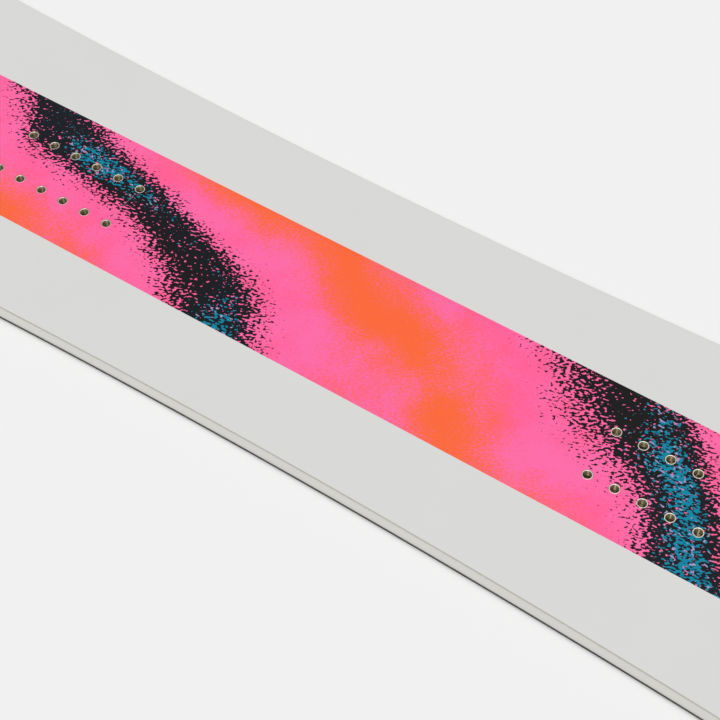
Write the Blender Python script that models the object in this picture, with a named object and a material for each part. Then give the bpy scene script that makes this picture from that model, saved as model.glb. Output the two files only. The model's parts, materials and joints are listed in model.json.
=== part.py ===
"""A snowboard, built up from the separate layers of its real laminate.

Metres, +Z up. The origin lies on the floor under the middle of the board.
+X runs from the nose to the tail, and +Y points to the toe edge.

A place on the board is given in board coordinates: s along the base from the middle,
y across it, and h above the running surface, square to it. The side profile bends
those into the world, so every layer keeps its thickness where the tips rise.
"""

import math

import bmesh
import bpy
from mathutils import Vector

# Plan outline, taken at the steel edges
EFFECTIVE_EDGE = 1.110  # between the contact points, where the sidecut ends
TIP_LENGTH = 0.170  # from a contact point to the nose's or the tail's end, along the base
WAIST_WIDTH = 0.243
SIDECUT_RADIUS = 6.85
SHOULDER_REACH = 0.095  # how far the sidecut's direction carries into the tip
TIP_BLUNTNESS = 0.098  # how far the tip's end runs square across the board

# Side profile
ROCKER_RADIUS = 3.2  # early rise, from the flat to the contact points
TIP_RADIUS = 0.44  # kick of the nose and the tail
FLAT_BEYOND_DECK = 0.040  # the base stays flat this far past the flat deck

# Insert packs, 2 rows of threaded inserts under each binding
STANCE = 0.495  # between the middles of the two packs
SETBACK = 0.020  # of the stance, towards the tail
INSERT_PITCH = 0.020  # along the board
ROW_SPACING = 0.040  # across the board
INSERTS_PER_ROW = 6
DECK_BEYOND_INSERTS = 0.0425  # full thickness is kept this far past the last insert

# Thicknesses of the layers, from the floor up
BASE_THICKNESS = 0.0012
GLASS_THICKNESS = 0.00055
CORE_THICKNESS = 0.00585  # between the bindings
TOPSHEET_THICKNESS = 0.00045
RIM_BEVEL_WIDTH = 0.0008  # the topsheet's rim is trimmed at a flat angle
RIM_BEVEL_DEPTH = 0.00035
BOND = 0.0001  # resin between two layers
SIDE_FIT = 0.0003  # resin between pieces that stand side by side

# Steel edge, with a head that shows and an anchor flange that is buried
EDGE_HEAD_WIDTH = 0.0020
EDGE_FLANGE_WIDTH = 0.0060
EDGE_FLANGE_THICKNESS = 0.0006
EDGE_BUTT_GAP = 0.0003  # between the two edges at the nose and at the tail
FOIL_THICKNESS = 0.00025  # rubber between the flange and the laminate
FOIL_SETBACK = 0.0004  # from the edge's outer face

# Sidewalls and tip spacers
SIDEWALL_BEVEL = math.radians(27.0)  # leans in from the edge to the topsheet
RIM_THICKNESS = 0.00095  # plastic over the edge's flange, at the contact points and in the tips

# Wood core
STRIP_WIDTH = 0.020
THINNEST_STRIP = 0.010  # a narrower rest is left on the outer strip

# Threaded insert
INSERT_BORE_RADIUS = 0.0030  # M6
INSERT_BARREL_RADIUS = 0.0038
INSERT_FLANGE_RADIUS = 0.0080
INSERT_FLANGE_THICKNESS = 0.0012
INSERT_FLOOR = 0.0012  # metal left under the bore
INSERT_CHAMFER = 0.00025  # round the bore's mouth
INSERT_RECESS = 0.0002  # below the deck
INSERT_CLEARANCE = 0.0002  # round the barrel and the flange

# How finely curves are cut into flats
SIDECUT_STEP = 0.065
ROCKER_STEP = 0.026
TIP_STEPS = 16
TURN_SIDES = 12
SHARP_ANGLE = math.radians(35)

# Heights of the layers' faces, from the floor up
base_top = BASE_THICKNESS
inner_glass_bottom = base_top + BOND
inner_glass_top = inner_glass_bottom + GLASS_THICKNESS
core_bottom = inner_glass_top + BOND
flange_bottom = base_top + BOND
flange_top = flange_bottom + EDGE_FLANGE_THICKNESS
foil_bottom = flange_top + BOND
foil_top = foil_bottom + FOIL_THICKNESS
rim_glass_bottom = foil_top + BOND
rim_glass_top = rim_glass_bottom + GLASS_THICKNESS
sidewall_bottom = rim_glass_top + BOND
tip_top = sidewall_bottom + RIM_THICKNESS

# Distances in from the outline
flange_inset = EDGE_HEAD_WIDTH + EDGE_FLANGE_WIDTH
step_inset = flange_inset + SIDE_FIT
sidewall_inset = step_inset + GLASS_THICKNESS
core_inset = sidewall_inset + SIDE_FIT

# Distances along the board, from its middle
contact = EFFECTIVE_EDGE / 2
board_end = contact + TIP_LENGTH
pack_half = (INSERTS_PER_ROW - 1) * INSERT_PITCH / 2
taper_start = STANCE / 2 + pack_half + abs(SETBACK) + DECK_BEYOND_INSERTS
flat_end = taper_start + FLAT_BEYOND_DECK
core_end = contact - SIDE_FIT

# Colour, roughness and metallic value of each material
FINISHES = {
    "base_plastic": ((0.02, 0.02, 0.022), 0.35, 0.0),
    "edge_steel": ((0.35, 0.35, 0.36), 0.3, 1.0),
    "foil_rubber": ((0.02, 0.02, 0.02), 0.8, 0.0),
    "fibreglass": ((0.62, 0.60, 0.45), 0.35, 0.0),
    "poplar": ((0.74, 0.58, 0.38), 0.6, 0.0),
    "beech": ((0.60, 0.40, 0.24), 0.6, 0.0),
    "sidewall_plastic": ((0.72, 0.72, 0.69), 0.4, 0.0),
    "topsheet_print": ((0.68, 0.68, 0.67), 0.3, 0.0),
    "insert_steel": ((0.62, 0.58, 0.50), 0.3, 1.0),
    "cutter": ((1.0, 0.0, 0.0), 0.5, 0.0),
}

SIDES = (("toe", 1), ("heel", -1))
ENDS = (("nose", -1), ("tail", 1))


def clear_scene():
    for obj in list(bpy.data.objects):
        bpy.data.objects.remove(obj)


def material(name):
    """The material of this name, made when it is first asked for."""
    if name in bpy.data.materials:
        return bpy.data.materials[name]
    colour, roughness, metallic = FINISHES[name]
    made = bpy.data.materials.new(name)
    made.use_nodes = True
    shader = made.node_tree.nodes["Principled BSDF"]
    shader.inputs["Base Color"].default_value = (*colour, 1.0)
    shader.inputs["Roughness"].default_value = roughness
    shader.inputs["Metallic"].default_value = metallic
    return made


# Heights that taper towards the tips


def core_top(s):
    """Full between the bindings, then a straight taper to the contact points."""
    full = core_bottom + CORE_THICKNESS
    share = (abs(s) - taper_start) / (contact - taper_start)
    share = min(max(share, 0.0), 1.0)
    return full + (tip_top - full) * share


def upper_glass_bottom(s):
    return core_top(s) + BOND


def upper_glass_top(s):
    return upper_glass_bottom(s) + GLASS_THICKNESS


def topsheet_bottom(s):
    return upper_glass_top(s) + BOND


def deck(s):
    return topsheet_bottom(s) + TOPSHEET_THICKNESS


def lean(height):
    """How far the board's side has leaned in at a height."""
    return max(0.0, height - sidewall_bottom) * math.tan(SIDEWALL_BEVEL)


# Side profile


def follow_arc(start, angle, radius, length):
    """The end and the direction of an arc that leaves a point at an angle."""
    x, z = start
    turned_to = angle + length / radius
    x += radius * (math.sin(turned_to) - math.sin(angle))
    z += radius * (math.cos(angle) - math.cos(turned_to))
    return (x, z), turned_to


def base_point(s):
    """Where the base lies at s, and how steeply it rises there."""
    end, angle = (min(abs(s), flat_end), 0.0), 0.0
    if abs(s) > flat_end:
        end, angle = follow_arc(end, angle, ROCKER_RADIUS, min(abs(s), contact) - flat_end)
    if abs(s) > contact:
        end, angle = follow_arc(end, angle, TIP_RADIUS, abs(s) - contact)
    return end, angle


def in_world(s, y, h):
    """A place in board coordinates, in the world."""
    (x, z), angle = base_point(s)
    return (math.copysign(x - h * math.sin(angle), s), y, z + h * math.cos(angle))


# Plan outline


def half_width(s, inset=0.0):
    """From the centreline to the sidecut at s, or to a line inset from it and square to it."""
    depth = math.sqrt(SIDECUT_RADIUS**2 - s**2)
    return WAIST_WIDTH / 2 + SIDECUT_RADIUS - depth - inset * SIDECUT_RADIUS / depth


def steps(start, end, longest):
    """Evenly spaced values from start up to end, without end."""
    count = max(1, math.ceil((end - start) / longest))
    return [start + (end - start) * i / count for i in range(count)]


def stations(end):
    """Where the layers have a cross-section, from one end of the sidecut to the other."""
    half = steps(0.0, taper_start, SIDECUT_STEP)
    half += steps(taper_start, flat_end, SIDECUT_STEP)
    half += steps(flat_end, contact, ROCKER_STEP)
    half.append(end)
    return [-s for s in reversed(half[1:])] + half


def sidecut_places():
    """The toe side of the sidecut. A place is a point of the outline and its outward direction."""
    places = []
    for s in stations(contact):
        slope = math.asin(s / SIDECUT_RADIUS)
        places.append((Vector((s, half_width(s))), Vector((-math.sin(slope), math.cos(slope)))))
    return places


def tail_places():
    """The toe side of the tail past the contact point, a Bezier curve to the tail's end."""
    slope = math.asin(contact / SIDECUT_RADIUS)
    start = Vector((contact, half_width(contact)))
    shoulder = start + SHOULDER_REACH * Vector((math.cos(slope), math.sin(slope)))
    end = Vector((board_end, 0.0))
    corner = end + Vector((0.0, TIP_BLUNTNESS))
    places = []
    for i in range(1, TIP_STEPS + 1):
        t = i / TIP_STEPS
        u = 1 - t
        point = u**3 * start + 3 * t * u**2 * shoulder + 3 * t**2 * u * corner + t**3 * end
        heading = u**2 * (shoulder - start) + 2 * t * u * (corner - shoulder) + t**2 * (end - corner)
        heading.normalize()
        places.append((point, Vector((-heading.y, heading.x))))
    return places


def outline():
    """The toe side of the whole outline, from the nose's end to the tail's."""
    tail = tail_places()
    turn_round = Vector((-1.0, 1.0))
    nose = [(point * turn_round, outward * turn_round) for point, outward in reversed(tail)]
    return nose + sidecut_places() + tail


# Shapes


def add_object(name, bm, finish):
    bmesh.ops.recalc_face_normals(bm, faces=bm.faces)
    mesh = bpy.data.meshes.new(name)
    bm.to_mesh(mesh)
    bm.free()
    mesh.shade_smooth()
    mesh.set_sharp_from_angle(angle=SHARP_ANGLE)
    mesh.materials.append(material(finish))
    obj = bpy.data.objects.new(name, mesh)
    bpy.context.scene.collection.objects.link(obj)
    return obj


def sheet(name, places, section, finish):
    """A layer over the whole width. section(s) gives the toe side of its cross-section as
    (inset, height) corners, from its underside to its top. Where the outline meets the
    centreline the two sides share their points. Elsewhere the layer ends in a flat face.
    """
    bm = bmesh.new()
    rows = []
    for point, outward in places:
        on_centreline = point.y == 0.0
        row = []
        for inset, h in section(point.x):
            s, y = point - inset * outward
            toe = bm.verts.new(in_world(s, 0.0 if on_centreline else y, h))
            heel = toe if on_centreline else bm.verts.new(in_world(s, -y, h))
            row.append((toe, heel))
        rows.append(row)
    for row, after in zip(rows, rows[1:]):
        for side in (0, 1):
            for low, high, next_low, next_high in zip(row, row[1:], after, after[1:]):
                bm.faces.new((low[side], next_low[side], next_high[side], high[side]))
        for corner in (0, -1):
            around = (*row[corner], *reversed(after[corner]))
            bm.faces.new(list(dict.fromkeys(around)))
    for row in (rows[0], rows[-1]):
        toe_corners, heel_corners = zip(*row)
        if toe_corners != heel_corners:
            bm.faces.new(toe_corners + heel_corners[::-1])
    return add_object(name, bm, finish)


def rail(name, rows, finish):
    """A long piece from its cross-sections, each a ring of points in the world."""
    bm = bmesh.new()
    rings = [[bm.verts.new(point) for point in row] for row in rows]
    for ring, after in zip(rings, rings[1:]):
        for i, corner in enumerate(ring):
            bm.faces.new((ring[i - 1], corner, after[i], after[i - 1]))
    bm.faces.new(rings[0])
    bm.faces.new(rings[-1])
    return add_object(name, bm, finish)


def perimeter_rail(name, side, section, finish):
    """A piece that follows the outline on one side, from the nose's end to the tail's."""
    rows = []
    for point, outward in outline():
        row = []
        for inset, h in section:
            s, y = point - inset * outward
            row.append(in_world(s, side * max(y, EDGE_BUTT_GAP / 2), h))
        rows.append(row)
    return rail(name, rows, finish)


def core_rail(name, along, corners, finish):
    """A piece between the contact points. corners(s) gives its cross-section as (y, height)."""
    return rail(name, [[in_world(s, y, h) for y, h in corners(s)] for s in along], finish)


def turned(profile):
    """A shape turned round Z from (radius, height) points that start and end on the axis."""
    bm = bmesh.new()
    points = [bm.verts.new((radius, 0.0, height)) for radius, height in profile]
    edges = [bm.edges.new(pair) for pair in zip(points, points[1:])]
    bmesh.ops.spin(
        bm, geom=points + edges, axis=(0, 0, 1), cent=(0, 0, 0), angle=math.tau, steps=TURN_SIDES
    )
    bmesh.ops.remove_doubles(bm, verts=bm.verts, dist=1e-6)
    return bm


def flats_at(radius):
    """The corner radius of a turned hole whose flats stand at this radius."""
    return radius / math.cos(math.pi / TURN_SIDES)


# Threaded inserts and the holes they stand in


def insert_places():
    """The name, s and y of every threaded insert."""
    places = []
    for end, along in ENDS:
        for edge, across in SIDES:
            for i in range(INSERTS_PER_ROW):
                s = SETBACK + along * (STANCE / 2 - pack_half + i * INSERT_PITCH)
                places.append((f"insert_{end}_{edge}_{i + 1}", s, across * ROW_SPACING / 2))
    return places


def hole_cutter(name, profile):
    """A hidden tool with the same turned shape at every insert."""
    bm = turned(profile)
    first = bm.verts[:] + bm.edges[:] + bm.faces[:]
    for _, s, y in insert_places():
        copy = bmesh.ops.duplicate(bm, geom=first)["geom"]
        corners = [item for item in copy if isinstance(item, bmesh.types.BMVert)]
        bmesh.ops.translate(bm, verts=corners, vec=(s, y, 0.0))
    bmesh.ops.delete(bm, geom=first, context="VERTS")
    cutter = add_object(name, bm, "cutter")
    cutter.hide_render = True
    cutter.display_type = "WIRE"
    return cutter


def barrel_hole():
    radius = flats_at(INSERT_BARREL_RADIUS + INSERT_CLEARANCE)
    above = 2 * deck(0.0)
    return [(0.0, core_bottom), (radius, core_bottom), (radius, above), (0.0, above)]


def flanged_hole():
    """Through the core, and wider at its foot for the insert's flange."""
    barrel = flats_at(INSERT_BARREL_RADIUS + INSERT_CLEARANCE)
    flange = flats_at(INSERT_FLANGE_RADIUS + INSERT_CLEARANCE)
    shoulder = core_bottom + INSERT_FLANGE_THICKNESS + INSERT_CLEARANCE
    above = 2 * deck(0.0)
    return [
        (0.0, 0.0),
        (flange, 0.0),
        (flange, shoulder),
        (barrel, shoulder),
        (barrel, above),
        (0.0, above),
    ]


def cut(obj, cutter):
    modifier = obj.modifiers.new("holes", "BOOLEAN")
    modifier.operation = "DIFFERENCE"
    modifier.object = cutter


def insert_profile():
    """A flanged steel cup with a blind bore of the thread's outer diameter."""
    shoulder = core_bottom + INSERT_FLANGE_THICKNESS
    floor = core_bottom + INSERT_FLOOR
    mouth = deck(0.0) - INSERT_RECESS
    bore = flats_at(INSERT_BORE_RADIUS)
    return [
        (0.0, core_bottom),
        (INSERT_FLANGE_RADIUS, core_bottom),
        (INSERT_FLANGE_RADIUS, shoulder),
        (INSERT_BARREL_RADIUS, shoulder),
        (INSERT_BARREL_RADIUS, mouth),
        (bore + INSERT_CHAMFER, mouth),
        (bore, mouth - INSERT_CHAMFER),
        (bore, floor),
        (0.0, floor),
    ]


def make_inserts():
    places = insert_places()
    first_name, first_s, first_y = places[0]
    first = add_object(first_name, turned(insert_profile()), "insert_steel")
    first.location = (first_s, first_y, 0.0)
    for name, s, y in places[1:]:
        obj = bpy.data.objects.new(name, first.data)
        obj.location = (s, y, 0.0)
        bpy.context.scene.collection.objects.link(obj)


# Layers and rails


def make_base():
    inset = EDGE_HEAD_WIDTH + SIDE_FIT
    sheet("base", outline(), lambda s: [(inset, 0.0), (inset, base_top)], "base_plastic")


def make_edges():
    """Steel edges, and the rubber foil that lies on their flanges."""
    steel = [
        (0.0, 0.0),
        (0.0, flange_top),
        (flange_inset, flange_top),
        (flange_inset, flange_bottom),
        (EDGE_HEAD_WIDTH, flange_bottom),
        (EDGE_HEAD_WIDTH, 0.0),
    ]
    foil = [
        (FOIL_SETBACK, foil_bottom),
        (FOIL_SETBACK, foil_top),
        (flange_inset, foil_top),
        (flange_inset, foil_bottom),
    ]
    for edge, side in SIDES:
        perimeter_rail(f"steel_edge_{edge}", side, steel, "edge_steel")
        perimeter_rail(f"edge_foil_{edge}", side, foil, "foil_rubber")


def make_lower_laminate():
    """Lies on the base, and steps up at the rim to lie over the edges' flanges."""
    corners = [
        (step_inset, inner_glass_bottom),
        (step_inset, rim_glass_bottom),
        (0.0, rim_glass_bottom),
        (0.0, rim_glass_top),
        (sidewall_inset, rim_glass_top),
        (sidewall_inset, inner_glass_top),
    ]
    sheet("lower_laminate", outline(), lambda s: corners, "fibreglass")


def make_core(flanged_holes):
    """Wood strips glued side by side. The outer ones follow the sidecut."""
    curved = stations(core_end)
    straight = [s for s in curved if abs(s) >= taper_start]
    half_core = half_width(0.0, core_inset)
    whole_strips = int((half_core - STRIP_WIDTH / 2 - THINNEST_STRIP) / STRIP_WIDTH)

    def make_strip(name, along, inner, outer, wood):
        def corners(s):
            bottom, top = core_bottom, core_top(s)
            return [(inner, bottom), (outer(s), bottom), (outer(s), top), (inner, top)]

        strip = core_rail(name, along, corners, wood)
        reach = flats_at(INSERT_FLANGE_RADIUS + INSERT_CLEARANCE)
        near, far = sorted((abs(inner), abs(outer(0.0))))
        if near < ROW_SPACING / 2 + reach and far > ROW_SPACING / 2 - reach:
            cut(strip, flanged_holes)

    half = STRIP_WIDTH / 2
    make_strip("core_strip_centre", straight, -half, lambda s: half, "poplar")
    for edge, side in SIDES:
        inner = half + BOND
        for i in range(whole_strips):
            outer = half + (i + 1) * STRIP_WIDTH
            name = f"core_strip_{edge}_{i + 1}"
            wood = ("beech", "poplar")[i % 2]
            make_strip(name, straight, side * inner, lambda s, y=side * outer: y, wood)
            inner = outer + BOND

        def sidecut(s, side=side):
            return side * half_width(s, core_inset)

        wood = ("beech", "poplar")[whole_strips % 2]
        make_strip(f"core_strip_{edge}_outer", curved, side * inner, sidecut, wood)


def make_sidewalls():
    def corners(s, side):
        top = core_top(s)
        return [
            (side * half_width(s), sidewall_bottom),
            (side * half_width(s, sidewall_inset), sidewall_bottom),
            (side * half_width(s, sidewall_inset), top),
            (side * half_width(s, lean(top)), top),
        ]

    along = stations(core_end)
    for edge, side in SIDES:
        name = f"sidewall_{edge}"
        core_rail(name, along, lambda s, side=side: corners(s, side), "sidewall_plastic")


def make_tip_spacers():
    """Plastic past the ends of the core, thinner at the rim over the edges' flanges."""
    corners = [
        (core_inset, core_bottom),
        (core_inset, sidewall_bottom),
        (0.0, sidewall_bottom),
        (lean(tip_top), tip_top),
    ]
    for end, along in ENDS:
        tip = [place for place in outline() if place[0].x * along > core_end]
        sheet(f"{end}_spacer", tip, lambda s: corners, "sidewall_plastic")


def make_upper_laminate(barrel_holes):
    def corners(s):
        bottom, top = upper_glass_bottom(s), upper_glass_top(s)
        return [(lean(bottom), bottom), (lean(top), top)]

    cut(sheet("upper_laminate", outline(), corners, "fibreglass"), barrel_holes)


def make_topsheet(barrel_holes):
    def corners(s):
        bottom, top = topsheet_bottom(s), deck(s)
        trim = top - RIM_BEVEL_DEPTH
        return [(lean(bottom), bottom), (lean(trim), trim), (lean(trim) + RIM_BEVEL_WIDTH, top)]

    cut(sheet("topsheet", outline(), corners, "topsheet_print"), barrel_holes)


clear_scene()
barrel_holes = hole_cutter("barrel_holes", barrel_hole())
flanged_holes = hole_cutter("flanged_holes", flanged_hole())
make_base()
make_edges()
make_lower_laminate()
make_core(flanged_holes)
make_sidewalls()
make_tip_spacers()
make_upper_laminate(barrel_holes)
make_topsheet(barrel_holes)
make_inserts()
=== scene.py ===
"""The looks of a snowboard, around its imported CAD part.

Metres, +Z up, in the part's own frame: +X runs from the nose to the tail and +Y points to
the toe edge. As in the part's source, a place on the board is also given in board
coordinates: s along the base from the middle, y across it, and h above the running
surface, square to it. The fine layers and rails keep them in an attribute, which their
materials read.
"""

import json
import math

import bmesh
import bpy
from mathutils import Euler, Matrix, Vector

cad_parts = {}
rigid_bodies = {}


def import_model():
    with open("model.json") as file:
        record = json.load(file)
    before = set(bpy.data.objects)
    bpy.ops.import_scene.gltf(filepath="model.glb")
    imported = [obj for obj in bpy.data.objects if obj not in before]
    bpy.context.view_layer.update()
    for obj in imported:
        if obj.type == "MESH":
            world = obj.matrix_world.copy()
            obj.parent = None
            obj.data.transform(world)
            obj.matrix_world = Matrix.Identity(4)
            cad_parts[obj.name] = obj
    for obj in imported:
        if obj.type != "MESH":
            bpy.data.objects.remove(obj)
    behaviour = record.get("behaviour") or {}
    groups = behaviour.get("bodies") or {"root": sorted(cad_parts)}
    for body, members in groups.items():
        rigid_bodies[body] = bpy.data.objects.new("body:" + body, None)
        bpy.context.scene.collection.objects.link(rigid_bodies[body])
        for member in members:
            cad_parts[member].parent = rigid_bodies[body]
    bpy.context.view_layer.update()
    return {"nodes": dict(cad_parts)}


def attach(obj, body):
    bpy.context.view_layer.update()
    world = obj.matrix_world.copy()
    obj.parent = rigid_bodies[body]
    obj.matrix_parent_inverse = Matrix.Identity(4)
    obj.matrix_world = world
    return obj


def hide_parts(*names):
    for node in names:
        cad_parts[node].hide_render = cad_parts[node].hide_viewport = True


# The part's own sizes
EFFECTIVE_EDGE = 1.110
TIP_LENGTH = 0.170
WAIST_WIDTH = 0.243
SIDECUT_RADIUS = 6.85
SHOULDER_REACH = 0.095
TIP_BLUNTNESS = 0.098
ROCKER_RADIUS = 3.2
TIP_RADIUS = 0.44
FLAT_BEYOND_DECK = 0.040
STANCE = 0.495
SETBACK = 0.020
INSERT_PITCH = 0.020
ROW_SPACING = 0.040
INSERTS_PER_ROW = 6
DECK_BEYOND_INSERTS = 0.0425
BASE_THICKNESS = 0.0012
GLASS_THICKNESS = 0.00055
CORE_THICKNESS = 0.00585
TOPSHEET_THICKNESS = 0.00045
RIM_BEVEL_WIDTH = 0.0008
RIM_BEVEL_DEPTH = 0.00035
BOND = 0.0001
SIDE_FIT = 0.0003
EDGE_HEAD_WIDTH = 0.0020
EDGE_FLANGE_WIDTH = 0.0060
EDGE_FLANGE_THICKNESS = 0.0006
EDGE_BUTT_GAP = 0.0003
FOIL_THICKNESS = 0.00025
FOIL_SETBACK = 0.0004
SIDEWALL_BEVEL = math.radians(27.0)
RIM_THICKNESS = 0.00095
INSERT_BORE_RADIUS = 0.0030
INSERT_BARREL_RADIUS = 0.0038
INSERT_FLANGE_RADIUS = 0.0080
INSERT_FLANGE_THICKNESS = 0.0012
INSERT_FLOOR = 0.0012
INSERT_CHAMFER = 0.00025
INSERT_RECESS = 0.0002
INSERT_CLEARANCE = 0.0002

# Finer detail than the part has
SEAM = 0.0001  # what is left of a gap between pieces that stand side by side
RIM_ROUNDING = 0.0001
STEEL_ROUNDING = 0.00015
SUPPORT = 0.0005  # flat strip inside a rounding, so that the face beyond it shades flat
ROUNDING_STEPS = 4
THREAD_PITCH = 0.001
THREAD_DEPTH = 0.00054
THREAD_ROOT = 0.125  # share of the pitch that is flat at the thread's root
THREAD_FLANK = 0.3125  # share of the pitch that each of its slopes takes
THREAD_STEP = 0.0001
INSERT_SIDES = 48
INSERT_CONE = 0.0004  # the drill's cone at the floor of the bore
INSERT_TURN = 2.4  # radians from one insert to the next, so that neighbours don't look alike
CELL_STEPS = 10  # flats along each side of the square round an insert
LONG_STEP = 0.010
BENT_STEP = 0.005
TIP_STEPS = 60
STEP_SLACK = 1e-6  # share of a step that rounding errors may add up to
SHARP_ANGLE = math.radians(35)

# The topsheet's map for textures, on which the printed band has most of the room
MAP_STRIPS = 3  # that the band is cut into, one above the other
MAP_BAND = 0.057  # half of the band's width there
MAP_SIDES = 0.050  # how far from the middle the pale sides start
MAP_RIM = 40.0  # the rim lies flat beyond the top, this much stretched
MAP_HOLE = 2.0  # the holes' walls lie flat in the holes, this much stretched
MAP_GAP = 0.006  # between its pieces, as a share of the map
MAP_LEVEL = 0.00001  # a point less deep than this lies on the top face

# Print on the topsheet
BAND_HALF_WIDTH = 0.0558
WAVE_LENGTH = 0.43
WAVE_START = 0.90  # turns of the wave at the board's middle
WAVE_SLANT = 3.4  # turns a metre across the board
WAVE_CREST = 0.60  # share of a wave that its slow side takes
WAVE_CURL = 32.0  # radians a metre, of the bends that it makes across the board
WAVE_CURL_DEPTH = 0.07  # turns that these bends shift it by
WAVE_WANDER = 0.9  # turns that noise shifts it by
STIPPLE_BLUR = 0.008
MARK_HALF_WIDTH = 0.00035
MARK_HALF_LENGTH = 0.01275

# Finish of the other surfaces, and the shade painted on some of them
WEAVE = 2200.0  # radians a metre, of the glass cloth that shows through the topsheet
SIDEWALL_PAINTED_SHADE = 0.0018  # height over which painted shade makes the sidewall's foot greyer
STEEL_PAINTED_SHADE_TO = 0.0007  # height from which the painted shade at the foot of the steel's side gives way and the side grows paler
STEEL_POLISH_TO = 0.000035  # height up to which its underside is polished
STEEL_POLISH_BLUR = 0.000025
GRIND_SLANT = 0.09  # radians to each side of the board's length, of the stone's lines in the base
BORE_SHADE_FADE = 0.0002  # from the bore's dark tone, brass with painted shade, to the rim's

# Studio light, and the share of it that each source gives
WORLD_SHARE = 0.38
KEY_SHARE = 0.22
KEY_FROM = (0.20, -0.55, 0.85)
KEY_WIDTH = math.radians(26.0)
OVERHEAD_FROM = (0.06, 0.14, 1.0)
OVERHEAD_WIDTH = math.radians(50.0)
LAMP_DISTANCE = 3.0
FLOOR_TONE = 0.88
FLOOR_REACH = 30.0
FLOOR_DROP = 0.0004  # from the board's underside down to the floor

# The photograph's camera, as fitted to the inserts and to the board's long edges
CAMERA_PLACE = (0.4407, -0.6309, 0.9750)
CAMERA_TILT = math.radians(36.93539)  # up from straight down
CAMERA_BANK = math.radians(-0.00403)  # below 0 its right side is the higher one
CAMERA_HEADING = math.radians(33.17477)  # from +Y towards -X
CAMERA_LENS = 88.91
CAMERA_SENSOR = 36.0

# Heights of the layers' faces
base_top = BASE_THICKNESS
inner_glass_bottom = base_top + BOND
inner_glass_top = inner_glass_bottom + GLASS_THICKNESS
core_bottom = inner_glass_top + BOND
insert_floor = core_bottom + INSERT_FLOOR
flange_bottom = base_top + BOND
flange_top = flange_bottom + EDGE_FLANGE_THICKNESS
foil_bottom = flange_top + BOND
foil_top = foil_bottom + FOIL_THICKNESS
rim_glass_bottom = foil_top + BOND
rim_glass_top = rim_glass_bottom + GLASS_THICKNESS
sidewall_bottom = rim_glass_top + BOND
tip_top = sidewall_bottom + RIM_THICKNESS

# Distances in from the outline
flange_inset = EDGE_HEAD_WIDTH + EDGE_FLANGE_WIDTH
step_inset = flange_inset + SIDE_FIT
sidewall_inset = step_inset + GLASS_THICKNESS
core_inset = sidewall_inset + SIDE_FIT
side_grow = (SIDE_FIT - SEAM) / 2

# Distances along the board
contact = EFFECTIVE_EDGE / 2
board_end = contact + TIP_LENGTH
pack_half = (INSERTS_PER_ROW - 1) * INSERT_PITCH / 2
taper_start = STANCE / 2 + pack_half + abs(SETBACK) + DECK_BEYOND_INSERTS
flat_end = taper_start + FLAT_BEYOND_DECK
core_end = contact - SIDE_FIT
cell_reach = INSERT_PITCH / 2  # from an insert's middle to the sides of its square
cell_step = INSERT_PITCH / CELL_STEPS

SIDES = (("toe", 1), ("heel", -1))
ENDS = (("nose", -1), ("tail", 1))

for startup_object in list(bpy.data.objects):
    bpy.data.objects.remove(startup_object)
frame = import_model()


# Shape of the board


def core_top(s):
    full = core_bottom + CORE_THICKNESS
    share = (abs(s) - taper_start) / (contact - taper_start)
    share = min(max(share, 0.0), 1.0)
    return full + (tip_top - full) * share


def deck(s):
    return core_top(s) + 2 * BOND + GLASS_THICKNESS + TOPSHEET_THICKNESS


def lean(height):
    """How far the board's side has leaned in at a height."""
    return max(0.0, height - sidewall_bottom) * math.tan(SIDEWALL_BEVEL)


def follow_arc(start, angle, radius, length):
    """The end and the direction of an arc that leaves a point at an angle."""
    x, z = start
    turned_to = angle + length / radius
    x += radius * (math.sin(turned_to) - math.sin(angle))
    z += radius * (math.cos(angle) - math.cos(turned_to))
    return (x, z), turned_to


def base_point(s):
    """Where the base lies at s, and how steeply it rises there."""
    end, angle = (min(abs(s), flat_end), 0.0), 0.0
    if abs(s) > flat_end:
        end, angle = follow_arc(end, angle, ROCKER_RADIUS, min(abs(s), contact) - flat_end)
    if abs(s) > contact:
        end, angle = follow_arc(end, angle, TIP_RADIUS, abs(s) - contact)
    return end, angle


def in_world(s, y, h):
    (x, z), angle = base_point(s)
    return (math.copysign(x - h * math.sin(angle), s), y, z + h * math.cos(angle))


def half_width(s, inset=0.0):
    depth = math.sqrt(SIDECUT_RADIUS**2 - s**2)
    return WAIST_WIDTH / 2 + SIDECUT_RADIUS - depth - inset * SIDECUT_RADIUS / depth


def insert_places():
    """The name, s and y of every threaded insert."""
    places = []
    for end, along in ENDS:
        for edge, across in SIDES:
            for i in range(INSERTS_PER_ROW):
                s = SETBACK + along * (STANCE / 2 - pack_half + i * INSERT_PITCH)
                places.append((f"insert_{end}_{edge}_{i + 1}", s, across * ROW_SPACING / 2))
    return places


def steps(start, end, longest):
    """Evenly spaced values from start up to end, without end."""
    count = max(1, math.ceil((end - start) / longest - STEP_SLACK))
    return [start + (end - start) * i / count for i in range(count)]


def stations(end):
    """Where the long pieces have a cross-section. The lines of an insert's square are among them."""
    reach = pack_half + cell_reach
    nose, tail = SETBACK - STANCE / 2, SETBACK + STANCE / 2
    found = steps(-end, -flat_end, BENT_STEP)
    found += steps(-flat_end, -taper_start, LONG_STEP)
    found += steps(-taper_start, nose - reach, LONG_STEP)
    found += steps(nose - reach, nose + reach, cell_step)
    found += steps(nose + reach, tail - reach, LONG_STEP)
    found += steps(tail - reach, tail + reach, cell_step)
    found += steps(tail + reach, taper_start, LONG_STEP)
    found += steps(taper_start, flat_end, LONG_STEP)
    found += steps(flat_end, end, BENT_STEP)
    return found + [end]


def sidecut_places():
    places = []
    for s in stations(contact):
        slope = math.asin(s / SIDECUT_RADIUS)
        places.append((Vector((s, half_width(s))), Vector((-math.sin(slope), math.cos(slope)))))
    return places


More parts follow.
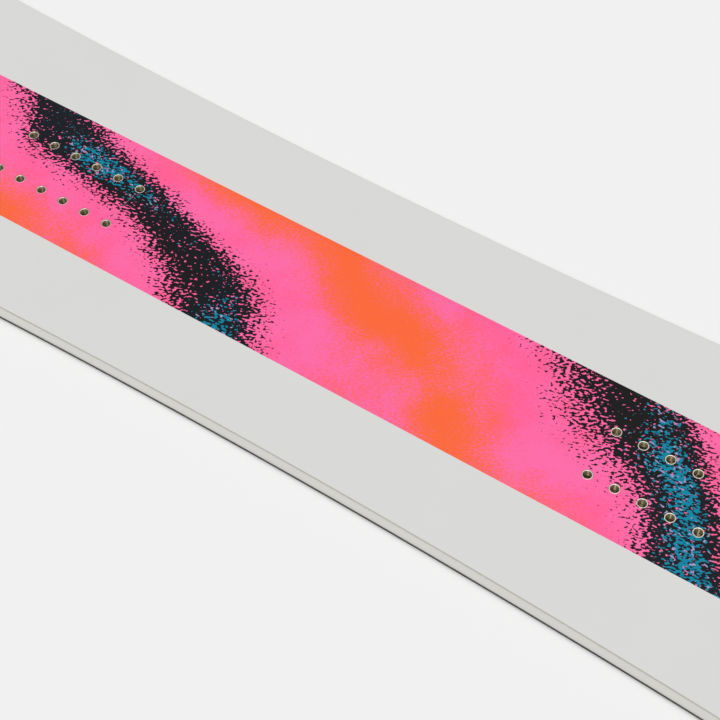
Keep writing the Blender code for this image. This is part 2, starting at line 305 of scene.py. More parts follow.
def tail_places():
    """The toe side of the tail past the contact point, a Bezier curve to the tail's end."""
    slope = math.asin(contact / SIDECUT_RADIUS)
    start = Vector((contact, half_width(contact)))
    shoulder = start + SHOULDER_REACH * Vector((math.cos(slope), math.sin(slope)))
    end = Vector((board_end, 0.0))
    corner = end + Vector((0.0, TIP_BLUNTNESS))
    places = []
    for i in range(1, TIP_STEPS + 1):
        t = i / TIP_STEPS
        u = 1 - t
        point = u**3 * start + 3 * t * u**2 * shoulder + 3 * t**2 * u * corner + t**3 * end
        heading = u**2 * (shoulder - start) + 2 * t * u * (corner - shoulder) + t**2 * (end - corner)
        heading.normalize()
        places.append((point, Vector((-heading.y, heading.x))))
    return places


def outline():
    """The toe side of the whole outline, from the nose's end to the tail's. A place is a point
    and its outward direction.
    """
    tail = tail_places()
    turn_round = Vector((-1.0, 1.0))
    nose = [(point * turn_round, outward * turn_round) for point, outward in reversed(tail)]
    return nose + sidecut_places() + tail


OUTLINE = outline()


# Materials


def linear(red, green, blue):
    """A colour as it shows, 0 to 255, as a shader takes it."""

    def one(value):
        share = value / 255
        return share / 12.92 if share <= 0.04045 else ((share + 0.055) / 1.055) ** 2.4

    return (one(red), one(green), one(blue), 1.0)


class Paint:
    """A material, with short ways to add nodes to it."""

    def __init__(self, name, **values):
        self.made = bpy.data.materials.new(name)
        self.made.use_nodes = True
        self.tree = self.made.node_tree
        self.shader = self.tree.nodes["Principled BSDF"]
        for socket, value in values.items():
            self.set(socket.replace("_", " "), value)

    def feed(self, socket, value):
        if isinstance(value, bpy.types.NodeSocket):
            self.tree.links.new(value, socket)
        else:
            socket.default_value = value

    def set(self, name, value):
        """Feed the shader's socket of that name."""
        self.feed(self.shader.inputs[name], value)

    def add(self, kind, sockets, **settings):
        node = self.tree.nodes.new("ShaderNode" + kind)
        for setting, value in settings.items():
            setattr(node, setting, value)
        for socket, value in sockets.items():
            self.feed(node.inputs[socket], value)
        return node

    def board(self):
        """The board coordinates: the whole, and s, y and h by themselves."""
        whole = self.add("Attribute", {}, attribute_name="board").outputs["Vector"]
        parts = self.add("SeparateXYZ", {0: whole}).outputs
        return whole, parts[0], parts[1], parts[2]

    def math(self, operation, *values):
        return self.add("Math", dict(enumerate(values)), operation=operation).outputs[0]

    def ramp(self, value, low, high, at_low=0.0, at_high=1.0, shape="SMOOTHSTEP"):
        """value taken from low..high to at_low..at_high, and held beyond them."""
        sockets = {0: value, 1: low, 2: high, 3: at_low, 4: at_high}
        return self.add("MapRange", sockets, interpolation_type=shape).outputs[0]

    def within(self, value, limit, blur, strength=1.0):
        """strength below a limit and nothing above it, blurred by so much to each side."""
        return self.ramp(value, limit - blur, limit + blur, strength, 0.0)

    def mix(self, share, first, second):
        node = self.add("Mix", {0: share, 6: first, 7: second}, data_type="RGBA")
        return node.outputs[2]

    def flat(self, first, second):
        """A vector with 0 as its third number."""
        return self.add("CombineXYZ", {0: first, 1: second, 2: 0.0}).outputs[0]

    def stretch(self, whole, angle, along, across, seed=0.0):
        """Coordinates turned by angle, with so many cycles a metre along and across. Another
        seed gives another pattern there.
        """
        cos, sin = math.cos(angle), math.sin(angle)
        ways = ((cos * along, sin * along, 0.0), (-sin * across, cos * across, 0.0))
        first, second = [
            self.add("VectorMath", {0: whole, 1: way}, operation="DOT_PRODUCT").outputs["Value"]
            for way in ways
        ]
        return self.add("CombineXYZ", {0: first, 1: second, 2: seed}).outputs[0]

    def noise(self, vector, scale=1.0, detail=2.0, roughness=0.5):
        sockets = {"Vector": vector, "Scale": scale, "Detail": detail, "Roughness": roughness}
        return self.add("TexNoise", sockets).outputs[0]

    def wobble(self, *noise):
        """Noise that goes to both sides of 0."""
        return self.math("SUBTRACT", self.noise(*noise), 0.5)

    def side_noise(self, s, y, h, along, up, detail=2.0):
        """Noise with so many cycles a metre along and across the board, and up its side."""
        place = self.add("CombineXYZ", {
            0: self.math("MULTIPLY", s, along),
            1: self.math("MULTIPLY", h, up),
            2: self.math("MULTIPLY", y, along),
        }).outputs[0]
        return self.noise(place, 1.0, detail)

    def bump(self, height, distance):
        self.set("Normal", self.add("Bump", {"Height": height, "Distance": distance}).outputs[0])


def wave_depth(paint, s, y, swell):
    """The waves that cross the band, from 0 in a hollow to 1 on a crest. Each has a slow side
    and a quick one.
    """
    phase = paint.math("MULTIPLY_ADD", s, 1 / WAVE_LENGTH, WAVE_START)
    phase = paint.math("MULTIPLY_ADD", y, WAVE_SLANT, phase)
    curl = paint.math("SINE", paint.math("MULTIPLY", y, WAVE_CURL))
    phase = paint.math("MULTIPLY_ADD", curl, WAVE_CURL_DEPTH, phase)
    phase = paint.math("MULTIPLY_ADD", swell, WAVE_WANDER, phase)
    turn = paint.math("FRACT", phase)
    rise = paint.math("DIVIDE", turn, WAVE_CREST)
    fall = paint.math("DIVIDE", paint.math("SUBTRACT", 1.0, turn), 1 - WAVE_CREST)
    return paint.math("MINIMUM", rise, fall)


def airbrushed_ground(paint, flat, depth):
    """Orange in the waves' hollows and pink elsewhere."""
    cloud = paint.wobble(flat, 16.0, 4.0, 0.6)
    dust = paint.wobble(paint.stretch(flat, 0.3, 480.0, 800.0, 6.1), 1.0, 1.0)
    glow = paint.math("MULTIPLY_ADD", cloud, 0.55, depth)
    glow = paint.math("MULTIPLY_ADD", dust, 0.60, glow)
    orange = paint.ramp(glow, 0.02, 0.42, 1.0, 0.0)
    blush = paint.math("MULTIPLY_ADD", dust, 0.5, cloud)
    pink = paint.mix(paint.ramp(blush, -0.15, 0.15), linear(255, 95, 149), linear(253, 107, 169))
    return paint.mix(orange, pink, linear(251, 104, 56))


def dashes(paint, level, grain):
    """Ink where the level is over the grain."""
    return paint.ramp(paint.math("SUBTRACT", level, grain), -STIPPLE_BLUR, STIPPLE_BLUR)


def with_black(paint, flat, depth, swell, under):
    """Black stipple of short dashes, dense towards the crests."""
    level = paint.ramp(depth, 0.38, 0.86, 0.12, 0.68, "LINEAR")
    patches = paint.wobble(paint.stretch(flat, 0.2, 40.0, 90.0, 2.0), 1.0, 2.0)
    level = paint.math("MULTIPLY_ADD", patches, 0.26, level)
    grain = paint.noise(paint.stretch(flat, 0.35, 340.0, 560.0), 1.0, 1.0, 0.4)
    ink = paint.mix(paint.ramp(swell, -0.05, 0.05), linear(11, 9, 12), linear(8, 14, 22))
    return paint.mix(dashes(paint, level, grain), under, ink)


def with_teal(paint, flat, depth, under):
    """Teal dashes and pale specks over the black, in the cores of some crests."""
    where = paint.ramp(paint.noise(flat, 5.5, 1.0), 0.42, 0.62)
    core = paint.math("MULTIPLY", paint.ramp(depth, 0.70, 1.0), where)
    level = paint.ramp(core, 0.0, 1.0, 0.22, 0.53, "LINEAR")
    grain = paint.noise(paint.stretch(flat, 0.30, 350.0, 590.0, 8.3), 1.0, 1.0, 0.4)
    teal = paint.math("MULTIPLY", dashes(paint, level, grain), paint.ramp(core, 0.02, 0.05))
    colour = paint.mix(teal, under, linear(0, 131, 160))
    speck_grain = paint.noise(paint.stretch(flat, -0.2, 300.0, 480.0, 3.7), 1.0, 0.0)
    specks = paint.math("MULTIPLY", paint.ramp(speck_grain, 0.72, 0.74), paint.ramp(core, 0.2, 0.5))
    return paint.mix(specks, colour, linear(158, 150, 196))


def with_stance_mark(paint, s, y, under):
    """A fine mark across the nose pack, between its innermost inserts."""
    mark_s = SETBACK - STANCE / 2 + pack_half
    beside = paint.math("ABSOLUTE", paint.math("SUBTRACT", s, mark_s))
    beyond = paint.math("ABSOLUTE", y)
    mark = paint.math("MULTIPLY", paint.within(beside, MARK_HALF_WIDTH, 0.00009, 0.40),
                      paint.within(beyond, MARK_HALF_LENGTH, 0.00025))
    return paint.mix(mark, under, linear(140, 144, 150))


def with_trimmed_rim(paint, s, y, h, under):
    """The cut of the rim, beige where it has gone through the print, least along the toe side."""
    along = paint.math("ABSOLUTE", s)
    top = paint.ramp(along, taper_start, contact, deck(0.0), deck(contact), "LINEAR")
    cut = paint.ramp(paint.math("SUBTRACT", top, h), 0.00010, 0.00025)
    bare = paint.ramp(y, -0.03, 0.03, 1.0, 0.15)
    return paint.mix(paint.math("MULTIPLY", cut, bare), under, linear(180, 178, 167))


def paint_topsheet():
    """A satin sheet, pale at the sides, with a printed band of stippled waves down its middle."""
    paint = Paint("topsheet_print", Specular_IOR_Level=0.10)
    _, s, y, h = paint.board()
    flat = paint.flat(s, y)
    swell = paint.wobble(flat, 4.5, 1.0)
    depth = wave_depth(paint, s, y, swell)
    band = airbrushed_ground(paint, flat, depth)
    band = with_black(paint, flat, depth, swell, band)
    band = with_teal(paint, flat, depth, band)
    band = with_stance_mark(paint, s, y, band)
    clouds = paint.noise(flat, 9.0, 4.0, 0.6)
    pale = paint.mix(clouds, linear(213, 213, 211), linear(219, 219, 217))
    in_band = paint.math("LESS_THAN", paint.math("ABSOLUTE", y), BAND_HALF_WIDTH)
    colour = paint.mix(in_band, pale, band)
    paint.set("Base Color", with_trimmed_rim(paint, s, y, h, colour))
    satin = paint.noise(flat, 160.0, 3.0)
    paint.set("Roughness", paint.ramp(satin, 0.3, 0.7, 0.36, 0.44))
    warp = paint.math("SINE", paint.math("MULTIPLY", paint.math("ADD", s, y), WEAVE))
    weft = paint.math("SINE", paint.math("MULTIPLY", paint.math("SUBTRACT", s, y), WEAVE))
    grit = paint.noise(flat, 900.0, 2.0)
    weave = paint.math("MULTIPLY", warp, weft)
    paint.bump(paint.math("MULTIPLY_ADD", weave, 0.12, grit), 0.00002)
    return paint.made


def paint_sidewall():
    """Pale ABS, planed along its length, with painted shade that makes it a little greyer at its
    foot.
    """
    paint = Paint("sidewall_abs", Specular_IOR_Level=0.3)
    _, s, y, h = paint.board()
    lines = paint.side_noise(s, y, h, 9.0, 5200.0)
    # painted shade: the sidewall's foot is greyer, standing in for shadow near the floor
    foot = paint.ramp(h, sidewall_bottom, sidewall_bottom + SIDEWALL_PAINTED_SHADE, 0.3, 0.0)
    clean = paint.mix(lines, linear(218, 217, 212), linear(227, 226, 221))
    paint.set("Base Color", paint.mix(foot, clean, linear(190, 189, 181)))
    paint.set("Roughness", paint.ramp(lines, 0.3, 0.7, 0.38, 0.5))
    paint.bump(lines, 0.00003)
    return paint.made


def paint_glass():
    """The trimmed edge of glass fibre in epoxy, beige, with the ends of its rovings."""
    paint = Paint("glass_laminate", Specular_IOR_Level=0.3, Roughness=0.42)
    _, s, y, h = paint.board()
    share = paint.ramp(paint.side_noise(s, y, h, 700.0, 3000.0), 0.35, 0.65)
    paint.set("Base Color", paint.mix(share, linear(196, 194, 183), linear(212, 210, 200)))
    return paint.made


def paint_steel():
    """Hardened steel, ground along its length. Its side is a dark steel tone with painted shade,
    darkest at its foot and paler above that, and it is bright underneath.
    """
    paint = Paint("ground_steel", Metallic=1.0)
    whole, s, y, h = paint.board()
    lines = paint.side_noise(s, y, h, 40.0, 9000.0, 3.0)
    patches = paint.noise(whole, 30.0, 3.0)
    # painted shade: the foot of the steel's side is darkest, standing in for shadow where the board
    # meets the floor
    foot = paint.mix(lines, linear(28, 29, 30), linear(46, 47, 48))
    shoulder = paint.mix(lines, linear(96, 97, 99), linear(122, 123, 125))
    side = paint.mix(paint.ramp(h, STEEL_PAINTED_SHADE_TO, flange_top), foot, shoulder)
    side = paint.mix(paint.ramp(patches, 0.35, 0.75, 0.0, 0.4), side, linear(30, 30, 31))
    polished = paint.mix(lines, linear(148, 149, 151), linear(172, 173, 175))
    under = paint.within(h, STEEL_POLISH_TO, STEEL_POLISH_BLUR)
    paint.set("Base Color", paint.mix(under, side, polished))
    paint.set("Roughness", paint.ramp(lines, 0.3, 0.7, 0.28, 0.45))
    paint.bump(lines, 0.00002)
    return paint.made


def paint_rubber():
    paint = Paint("foil_rubber", Roughness=0.8, Specular_IOR_Level=0.2)
    specks = paint.noise(paint.board()[0], 1500.0, 2.0)
    paint.set("Base Color", paint.mix(specks, linear(98, 98, 95), linear(118, 118, 114)))
    return paint.made


def paint_base():
    """Black sintered plastic, with the fine lines that a stone leaves in it."""
    paint = Paint("base_plastic", Specular_IOR_Level=0.35)
    _, s, y, _ = paint.board()
    flat = paint.flat(s, y)
    left = paint.noise(paint.stretch(flat, GRIND_SLANT, 25.0, 1900.0), 1.0, 1.0)
    right = paint.noise(paint.stretch(flat, -GRIND_SLANT, 25.0, 1900.0, 5.0), 1.0, 1.0)
    lines = paint.math("MULTIPLY_ADD", left, 0.5, paint.math("MULTIPLY", right, 0.5))
    clouds = paint.noise(flat, 14.0, 4.0)
    share = paint.math("MULTIPLY_ADD", clouds, 0.5, paint.math("MULTIPLY", lines, 0.5))
    share = paint.ramp(share, 0.35, 0.65)
    paint.set("Base Color", paint.mix(share, linear(30, 30, 33), linear(47, 47, 51)))
    paint.set("Roughness", paint.ramp(lines, 0.3, 0.7, 0.32, 0.5))
    paint.bump(lines, 0.00003)
    return paint.made


def paint_insert():
    """Zinc-plated steel with a warm cast, turned on a lathe. The bore is a darker brass tone with
    painted shade in the hole.
    """
    paint = Paint("insert_plating", Metallic=1.0)
    place = paint.add("TexCoord", {}).outputs["Object"]
    parts = paint.add("SeparateXYZ", {0: place}).outputs
    across = paint.flat(parts[0], parts[1])
    radius = paint.add("VectorMath", {0: across}, operation="LENGTH").outputs["Value"]
    rings = paint.noise(paint.flat(
        paint.math("MULTIPLY", radius, 9000.0),
        paint.math("MULTIPLY", parts[2], 900.0),
    ))
    spots = paint.noise(place, 700.0, 3.0)
    rim = paint.mix(spots, linear(176, 171, 156), linear(198, 193, 178))
    # painted shade: the bore is darker than the rim, a brass tone darkened as shade in the hole
    bore_brass_and_shade = paint.mix(spots, linear(92, 82, 60), linear(118, 107, 82))
    outside = paint.ramp(radius, INSERT_BORE_RADIUS, INSERT_BORE_RADIUS + BORE_SHADE_FADE)
    paint.set("Base Color", paint.mix(outside, bore_brass_and_shade, rim))
    paint.set("Roughness", paint.ramp(rings, 0.3, 0.7, 0.24, 0.38))
    paint.bump(rings, 0.00002)
    return paint.made


def paint_wood(name, pale, dark, seed):
    """Straight grain along the board."""
    paint = Paint(name, Roughness=0.6, Specular_IOR_Level=0.3)
    place = paint.add("TexCoord", {}).outputs["Object"]

    def streaks(shift, along, across, detail):
        sockets = {"Vector": place, "Location": shift, "Scale": (along, across, across)}
        return paint.noise(paint.add("Mapping", sockets).outputs[0], 1.0, detail)

    grain = streaks((seed, 0.0, 0.0), 6.0, 420.0, 4.0)
    pores = streaks((0.0, seed, 0.0), 60.0, 2600.0, 1.0)
    colour = paint.mix(paint.ramp(grain, 0.3, 0.7), pale, dark)
    colour = paint.mix(paint.ramp(pores, 0.64, 0.72, 0.0, 0.5), colour, dark)
    paint.set("Base Color", colour)
    return paint.made


# Meshes


def finished_mesh(bm, name, paint):
    bmesh.ops.recalc_face_normals(bm, faces=bm.faces)
    mesh = bpy.data.meshes.new(name)
    bm.to_mesh(mesh)
    bm.free()
    mesh.shade_smooth()
    mesh.set_sharp_from_angle(angle=SHARP_ANGLE)
    mesh.materials.append(paint)
    return mesh


def stand_in(obj, slot, *nodes):
    """Show an object in place of the part's nodes of those names."""
    bpy.context.scene.collection.objects.link(obj)
    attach(obj, "root")
    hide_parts(*nodes)


class Shell:
    """A mesh in the making, whose points keep their board coordinates."""

    def __init__(self):
        self.bm = bmesh.new()
        self.coordinates = self.bm.verts.layers.float_vector.new("board")

    def point(self, s, y, h):
        vert = self.bm.verts.new(in_world(s, y, h))
        vert[self.coordinates] = (s, y, h)
        return vert

    def face(self, *corners):
        corners = list(dict.fromkeys(corners))
        if len(corners) > 2:
            self.bm.faces.new(corners)

    def done(self, name, paint, slot, *nodes):
        obj = bpy.data.objects.new(name, finished_mesh(self.bm, name, paint))
        stand_in(obj, slot, *nodes)
        return obj


def rounded(before, corner, after):
    """The corner between two (inset, height) points as a small curve that ends at them."""
    curve = []
    for i in range(ROUNDING_STEPS + 1):
        t = i / ROUNDING_STEPS
        u = 1 - t
        curve.append(tuple(
            u * u * a + 2 * t * u * b + t * t * c for a, b, c in zip(before, corner, after)
        ))
    return curve


# Lines along the board that the two large faces of a holed layer are divided by
row_lines = [ROW_SPACING / 2 - cell_reach + i * cell_step for i in range(CELL_STEPS + 1)]
row_lines.append(MAP_BAND)
LINES = [-y for y in reversed(row_lines)] + row_lines
LINES_NEED = 0.065  # half of the width that all of them fit in


def add_skins(shell, skins, stands, hole):
    """The two large faces of a layer, from rows of points that stand at the given s. Round each
    insert a square is left out, and filled again up to a hole that goes through both.
    """
    cells = set()
    mouths = []
    n = CELL_STEPS
    for _, s, y in insert_places() if hole else ():
        i = min(range(len(stands)), key=lambda k: abs(stands[k] - (s - cell_reach)))
        j = 1 + min(range(len(LINES)), key=lambda k: abs(LINES[k] - (y - cell_reach)))
        cells |= {(i + a, j + b) for a in range(n) for b in range(n)}
        border = [(i + a, j) for a in range(n)] + [(i + n, j + b) for b in range(n)]
        border += [(i + n - a, j + n) for a in range(n)] + [(i, j + n - b) for b in range(n)]
        mouths.append((s, y, border))
    for skin in skins:
        for i, (row, after) in enumerate(zip(skin, skin[1:])):
            for j in range(len(row) - 1):
                if (i, j) not in cells:
                    shell.face(row[j], after[j], after[j + 1], row[j + 1])
    for s, y, border in mouths:
        rings = []
        for skin in skins:
            outer = [skin[i][j] for i, j in border]
            ring = []
            for vert in outer:
                place = vert[shell.coordinates]
                way = math.atan2(place.y - y, place.x - s)
                ring.append(shell.point(s + hole * math.cos(way), y + hole * math.sin(way), place.z))
            for k in range(len(border)):
                shell.face(outer[k - 1], outer[k], ring[k], ring[k - 1])
            rings.append(ring)
        for k in range(len(border)):
            shell.face(rings[0][k - 1], rings[0][k], rings[1][k], rings[1][k - 1])


def layer(places, section, hole=None):
    """A closed layer over the whole width, holed at the inserts if hole gives a radius.
    section(s) gives the toe side of its cross-section as (inset, height), from its underside
    to its top. Where the outline isn't on the centreline the layer ends in a flat face.
    """
    shell = Shell()
    rims = []
    skins = ([], [])
    for point, outward in places:
        on_centreline = point.y == 0.0
        corners = section(point.x)
        rim = []
        for inset, h in corners:
            s, y = point - inset * outward
            toe = shell.point(s, 0.0 if on_centreline else y, h)
            rim.append((toe, toe if on_centreline else shell.point(s, -y, h)))
        rims.append(rim)
        for skin, (inset, h), (toe, heel) in zip(skins, (corners[0], corners[-1]), (rim[0], rim[-1])):
            inside = []
            if hole and not on_centreline:
                s, y = point - inset * outward
                squeeze = min(1.0, y / LINES_NEED)
                s = point.x if abs(point.x) <= contact else s
                inside = [shell.point(s, line * squeeze, h) for line in LINES]
            elif hole:
                inside = [toe] * len(LINES)
            skin.append([heel, *inside, toe])
    for rim, after in zip(rims, rims[1:]):
        for side in (0, 1):
            for low, high, next_low, next_high in zip(rim, rim[1:], after, after[1:]):
                shell.face(low[side], next_low[side], next_high[side], high[side])
    for rim in (rims[0], rims[-1]):
        toe_corners, heel_corners = zip(*rim)
        if toe_corners != heel_corners:
            shell.face(*toe_corners, *heel_corners[::-1])
    add_skins(shell, skins, [point.x for point, _ in places], hole)
    return shell


def rail(rows):
    """A long closed piece from its cross-sections, each a ring of board coordinates."""
    shell = Shell()
    rings = [[shell.point(*place) for place in row] for row in rows]
    for ring, after in zip(rings, rings[1:]):
        for i, corner in enumerate(ring):
            shell.face(ring[i - 1], corner, after[i], after[i - 1])
    shell.face(*rings[0])
    shell.face(*rings[-1])
    return shell


def perimeter_rail(side, section):
    """A piece that follows the outline on one side, from the nose's end to the tail's."""
    rows = []
    for point, outward in OUTLINE:
        row = []
        for inset, h in section:
            s, y = point - inset * outward
            row.append((s, side * max(y, EDGE_BUTT_GAP / 2), h))
        rows.append(row)
    return rail(rows)


# Layers and rails


# The map for textures: strips of the band, then the two pale sides, then the underside
map_room = MAP_RIM * (TOPSHEET_THICKNESS + BOND / 2)
map_reach = board_end + map_room
strip_length = 2 * map_reach / MAP_STRIPS
strip_scale = 1 / (strip_length + LONG_STEP)
strip_rise = 2 * MAP_BAND * strip_scale + MAP_GAP
long_scale = (1 - MAP_GAP) / 2 / map_reach
side_rise = (half_width(contact) + map_room - MAP_SIDES) * long_scale + MAP_GAP
sides_from = MAP_STRIPS * strip_rise
under_from = sides_from + 2 * side_rise
under_rise = (1 - MAP_GAP - under_from) / 2


def laid_flat(s, y, depth, hole):
    """Where a point of a wall of the topsheet lies once that wall is turned flat."""
    if depth < MAP_LEVEL:
        return s, y
    _, middle_s, middle_y = min(
        insert_places(), key=lambda place: math.hypot(s - place[1], y - place[2]))
    away = Vector((s - middle_s, y - middle_y))
    if away.length < cell_reach:
        away *= 1 - MAP_HOLE * depth / hole
        return middle_s + away.x, middle_y + away.y
    way = MAP_RIM * depth * Vector((max(0.0, abs(s) - contact), abs(y))).normalized()
    return s + math.copysign(way.x, s), y + math.copysign(way.y, y)


def on_map(corners, hole):
    """Where the corners of a face of the topsheet lie on its map for textures."""
    if min(deck(s) - h for s, _, h in corners) > TOPSHEET_THICKNESS:
        return [(0.5 + s * long_scale, under_from + under_rise * (1 + y / half_width(contact)))
                for s, y, _ in corners]
    places = [laid_flat(s, y, deck(s) - h, hole) for s, y, h in corners]
    if max(abs(y) for _, y in places) > MAP_BAND + SUPPORT:
        start = sides_from + (corners[0][1] < 0.0) * side_rise
        return [(0.5 + s * long_scale, start + (abs(y) - MAP_SIDES) * long_scale) for s, y in places]
    middle = sum(s for s, _ in places) / len(places)
    number = math.floor((middle + map_reach) / strip_length)
    start = number * strip_length - map_reach - LONG_STEP / 2
    return [((s - start) * strip_scale, number * strip_rise + (y + MAP_BAND) * strip_scale)
            for s, y in places]


def add_map(mesh, hole):
    places = [tuple(item.vector) for item in mesh.attributes["board"].data]
    spots = mesh.uv_layers.new(name="OFBake").uv
    for face in mesh.polygons:
        corners = [places[vertex] for vertex in face.vertices]
        for loop, spot in zip(face.loop_indices, on_map(corners, hole)):
            spots[loop].vector = spot


def make_topsheet(paint):
    slope = math.hypot(RIM_BEVEL_WIDTH, RIM_BEVEL_DEPTH)
    r = RIM_ROUNDING
    along, up = r * RIM_BEVEL_WIDTH / slope, r * RIM_BEVEL_DEPTH / slope

    def section(s):
        top = deck(s)
        bottom = top - TOPSHEET_THICKNESS - BOND / 2
        trim = top - RIM_BEVEL_DEPTH
        outer = lean(trim)
        inner = outer + RIM_BEVEL_WIDTH
        foot = rounded((lean(trim - r), trim - r), (outer, trim), (outer + along, trim + up))
        crown = rounded((inner - along, top - up), (inner, top), (inner + r, top))
        return [(lean(bottom), bottom), *foot, *crown, (inner + r + SUPPORT, top)]

    hole = INSERT_BARREL_RADIUS + INSERT_CLEARANCE / 2
    sheet = layer(OUTLINE, section, hole).done("printed_topsheet", paint, "topsheet", "topsheet")
    add_map(sheet.data, hole)


def make_upper_laminate(paint):
    def section(s):
        bottom = core_top(s) + BOND / 2
        top = bottom + GLASS_THICKNESS + BOND
        return [(lean(bottom), bottom), (lean(top), top)]

    hole = INSERT_BARREL_RADIUS + INSERT_CLEARANCE
    layer(OUTLINE, section, hole).done("upper_glass", paint, "fibreglass", "upper_laminate")


def make_lower_laminate(paint):
    half = BOND / 2
    corners = [
        (step_inset, inner_glass_bottom - half),
        (step_inset, rim_glass_bottom - half),
        (0.0, rim_glass_bottom - half),
        (0.0, rim_glass_top + half),
        (sidewall_inset, rim_glass_top + half),
        (sidewall_inset, inner_glass_top),
    ]
    layer(OUTLINE, lambda s: corners).done("lower_glass", paint, "fibreglass", "lower_laminate")


def make_base(paint):
    inset = EDGE_HEAD_WIDTH + SIDE_FIT - side_grow
    corners = [(inset, 0.0), (inset, base_top + BOND / 2)]
    layer(OUTLINE, lambda s: corners).done("running_base", paint, "base_plastic", "base")


def make_tip_spacers(paint):
    corners = [
        (core_inset, core_bottom),
        (core_inset, sidewall_bottom - BOND / 2),
        (0.0, sidewall_bottom - BOND / 2),
        (lean(tip_top + BOND / 2), tip_top + BOND / 2),
    ]
    for end, along in ENDS:
        tip = [place for place in OUTLINE if place[0].x * along > core_end]
        layer(tip, lambda s: corners).done(
            f"{end}_tip_fill", paint, "sidewall_plastic", f"{end}_spacer")


def make_sidewalls(paint):
    for edge, side in SIDES:
        rows = []
        for s in stations(core_end + side_grow):
            bottom = sidewall_bottom - BOND / 2
            top = core_top(s) + BOND / 2
            inner = half_width(s, sidewall_inset)
            rows.append([
                (s, side * half_width(s), bottom),
                (s, side * inner, bottom),
                (s, side * inner, top),
                (s, side * half_width(s, lean(top)), top),
            ])
        rail(rows).done(f"planed_sidewall_{edge}", paint, "sidewall_plastic", f"sidewall_{edge}")


def make_edges(steel, rubber):
    r = STEEL_ROUNDING
    top = flange_top + BOND / 2
    head = EDGE_HEAD_WIDTH + side_grow
    foot = rounded((r, 0.0), (0.0, 0.0), (0.0, r))
    shoulder = rounded((0.0, top - r), (0.0, top), (r, top))
    profile = [*foot, *shoulder, (r + SUPPORT, top), (flange_inset, top),
               (flange_inset, flange_bottom), (head, flange_bottom), (head, 0.0), (r + SUPPORT, 0.0)]
    foil = [
        (FOIL_SETBACK, foil_bottom - BOND / 2),
        (FOIL_SETBACK, foil_top + BOND / 2),
        (flange_inset, foil_top + BOND / 2),
        (flange_inset, foil_bottom - BOND / 2),
    ]
    for edge, side in SIDES:
        perimeter_rail(side, profile).done(
            f"ground_edge_{edge}", steel, "edge_steel", f"steel_edge_{edge}")
        perimeter_rail(side, foil).done(
            f"rubber_foil_{edge}", rubber, "foil_rubber", f"edge_foil_{edge}")


# Threaded inserts


def thread_radius(z, turn):
    """The bore's surface at a height and a share of a turn: a right-hand M6 thread."""
    t = (z / THREAD_PITCH - turn) % 1.0
    rise = min(max((t - THREAD_ROOT) / THREAD_FLANK, 0.0), 1.0)
    fall = min(max((1.0 - t) / THREAD_FLANK, 0.0), 1.0)
    return INSERT_BORE_RADIUS - THREAD_DEPTH * min(rise, fall)


def insert_rings():
    """Rings of an insert from the flange's foot up the barrel, over the rim and down the bore.
    Each gives its radius at every side, and its height.
    """
    shoulder = core_bottom + INSERT_FLANGE_THICKNESS
    mouth = deck(0.0) - INSERT_RECESS
    barrel = INSERT_BARREL_RADIUS
    lip = INSERT_BORE_RADIUS + INSERT_CHAMFER
    r = STEEL_ROUNDING
    rim = rounded((barrel, mouth - r), (barrel, mouth), (barrel - r, mouth))
    lead_in = rounded((lip + r, mouth), (lip, mouth), (lip - r, mouth - r))
    outside = [(INSERT_FLANGE_RADIUS, core_bottom), (INSERT_FLANGE_RADIUS, shoulder),
               (barrel, shoulder), *rim, *lead_in]
    rings = [([radius] * INSERT_SIDES, z) for radius, z in outside]
    thread_top = mouth - INSERT_CHAMFER
    thread_foot = insert_floor + INSERT_CONE
    count = round((thread_top - thread_foot) / THREAD_STEP)
    for i in range(count + 1):
        z = thread_top + (thread_foot - thread_top) * i / count
        into = min(1.0, (thread_top - z) / (THREAD_PITCH / 2))
        radii = [
            INSERT_BORE_RADIUS + (thread_radius(z, k / INSERT_SIDES) - INSERT_BORE_RADIUS) * into
            for k in range(INSERT_SIDES)
        ]
        rings.append((radii, z))
    return rings


def insert_mesh(paint):
    """A flanged cup with a rounded rim and a helical thread down its bore."""
    bm = bmesh.new()
    rings = []
    for radii, z in insert_rings():
        ring = []
        for k, radius in enumerate(radii):
            way = math.tau * k / INSERT_SIDES
            ring.append(bm.verts.new((radius * math.cos(way), radius * math.sin(way), z)))
        rings.append(ring)
    for ring, after in zip(rings, rings[1:]):
        for k in range(INSERT_SIDES):
            bm.faces.new((ring[k - 1], ring[k], after[k], after[k - 1]))
    for ring, z in ((rings[0], core_bottom), (rings[-1], insert_floor)):
        middle = bm.verts.new((0.0, 0.0, z))
        for k in range(INSERT_SIDES):
            bm.faces.new((ring[k - 1], ring[k], middle))
    return finished_mesh(bm, "threaded_insert", paint)


def make_inserts(paint):
    mesh = insert_mesh(paint)
    for i, (name, s, y) in enumerate(insert_places()):
        obj = bpy.data.objects.new("threaded_" + name, mesh)
        obj.location = (s, y, 0.0)
        obj.rotation_euler = (0.0, 0.0, INSERT_TURN * i)
        stand_in(obj, "insert_steel", name)


def dress_core():
    """The wood strips keep the part's own meshes."""
    woods = {
        "poplar": paint_wood("poplar_wood", linear(226, 203, 166), linear(198, 168, 124), 3.0),
        "beech": paint_wood("beech_wood", linear(203, 163, 122), linear(168, 124, 86), 7.0),
    }
    order = {"centre": "poplar", "1": "beech", "2": "poplar", "3": "beech", "4": "poplar",
             "outer": "beech"}
    for name, obj in frame["nodes"].items():
        if name.startswith("core_strip"):
            wood = order[name.rsplit("_", 1)[1]]
            obj.data.materials.clear()
            obj.data.materials.append(woods[wood])


# Studio


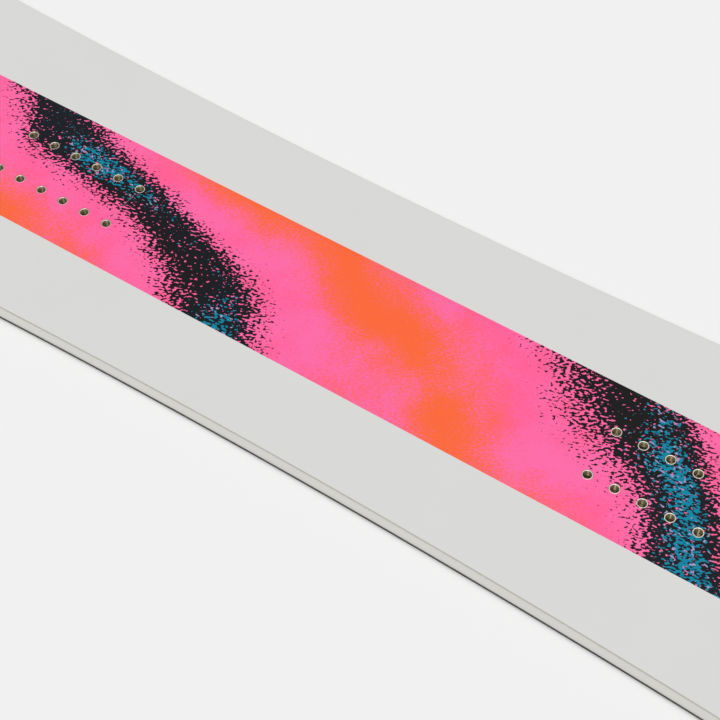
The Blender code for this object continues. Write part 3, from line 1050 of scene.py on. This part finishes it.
def make_floor():
    paint = Paint("studio_floor", Roughness=1.0, Specular_IOR_Level=0.0,
                  Base_Color=linear(241, 241, 241))
    mesh = bpy.data.meshes.new("studio_floor")
    corners = [(x * FLOOR_REACH, y * FLOOR_REACH, -FLOOR_DROP)
               for x, y in ((-1, -1), (1, -1), (1, 1), (-1, 1))]
    mesh.from_pydata(corners, [], [(0, 1, 2, 3)])
    mesh.materials.append(paint.made)
    floor = bpy.data.objects.new("studio_floor", mesh)
    bpy.context.scene.collection.objects.link(floor)


def make_world():
    """Even light from all round. Where it is seen, straight or mirrored, it has the floor's tone."""
    world = bpy.data.worlds.new("studio")
    bpy.context.scene.world = world
    world.use_nodes = True
    tree = world.node_tree
    background = tree.nodes["Background"]
    background.inputs["Color"].default_value = (1.0, 1.0, 1.0, 1.0)
    rays = tree.nodes.new("ShaderNodeLightPath").outputs
    seen = rays["Is Camera Ray"]
    for kind in ("Is Glossy Ray", "Is Transmission Ray"):
        either = tree.nodes.new("ShaderNodeMath")
        either.operation = "MAXIMUM"
        tree.links.new(seen, either.inputs[0])
        tree.links.new(rays[kind], either.inputs[1])
        seen = either.outputs[0]
    strength = tree.nodes.new("ShaderNodeMapRange")
    strength.inputs["To Min"].default_value = WORLD_SHARE
    strength.inputs["To Max"].default_value = FLOOR_TONE
    tree.links.new(seen, strength.inputs["Value"])
    tree.links.new(strength.outputs[0], background.inputs["Strength"])


def make_sun(name, source, width, share):
    """A soft light from the direction of source. share is its part of what lights the floor,
    where all the parts together show a colour as it is written.
    """
    way = Vector(source).normalized()
    data = bpy.data.lights.new(name, "SUN")
    data.angle = width
    data.energy = math.pi * share / way.z
    lamp = bpy.data.objects.new(name, data)
    lamp.rotation_euler = way.to_track_quat("Z", "Y").to_euler()
    lamp.location = way * LAMP_DISTANCE
    bpy.context.scene.collection.objects.link(lamp)


def make_camera():
    data = bpy.data.cameras.new("camera")
    data.lens = CAMERA_LENS
    data.sensor_width = CAMERA_SENSOR
    camera = bpy.data.objects.new("camera", data)
    turn = Euler((CAMERA_TILT, CAMERA_BANK, CAMERA_HEADING)).to_matrix().to_4x4()
    camera.matrix_world = Matrix.Translation(CAMERA_PLACE) @ turn
    bpy.context.scene.collection.objects.link(camera)
    bpy.context.scene.camera = camera


topsheet_paint = paint_topsheet()
sidewall_paint = paint_sidewall()
glass_paint = paint_glass()
make_topsheet(topsheet_paint)
make_upper_laminate(glass_paint)
make_lower_laminate(glass_paint)
make_sidewalls(sidewall_paint)
make_tip_spacers(sidewall_paint)
make_edges(paint_steel(), paint_rubber())
make_base(paint_base())
make_inserts(paint_insert())
dress_core()
make_floor()
make_world()
make_sun("key", KEY_FROM, KEY_WIDTH, KEY_SHARE)
make_sun("overhead", OVERHEAD_FROM, OVERHEAD_WIDTH, 1.0 - KEY_SHARE - WORLD_SHARE)
make_camera()
bpy.context.scene.view_settings.view_transform = "Standard"
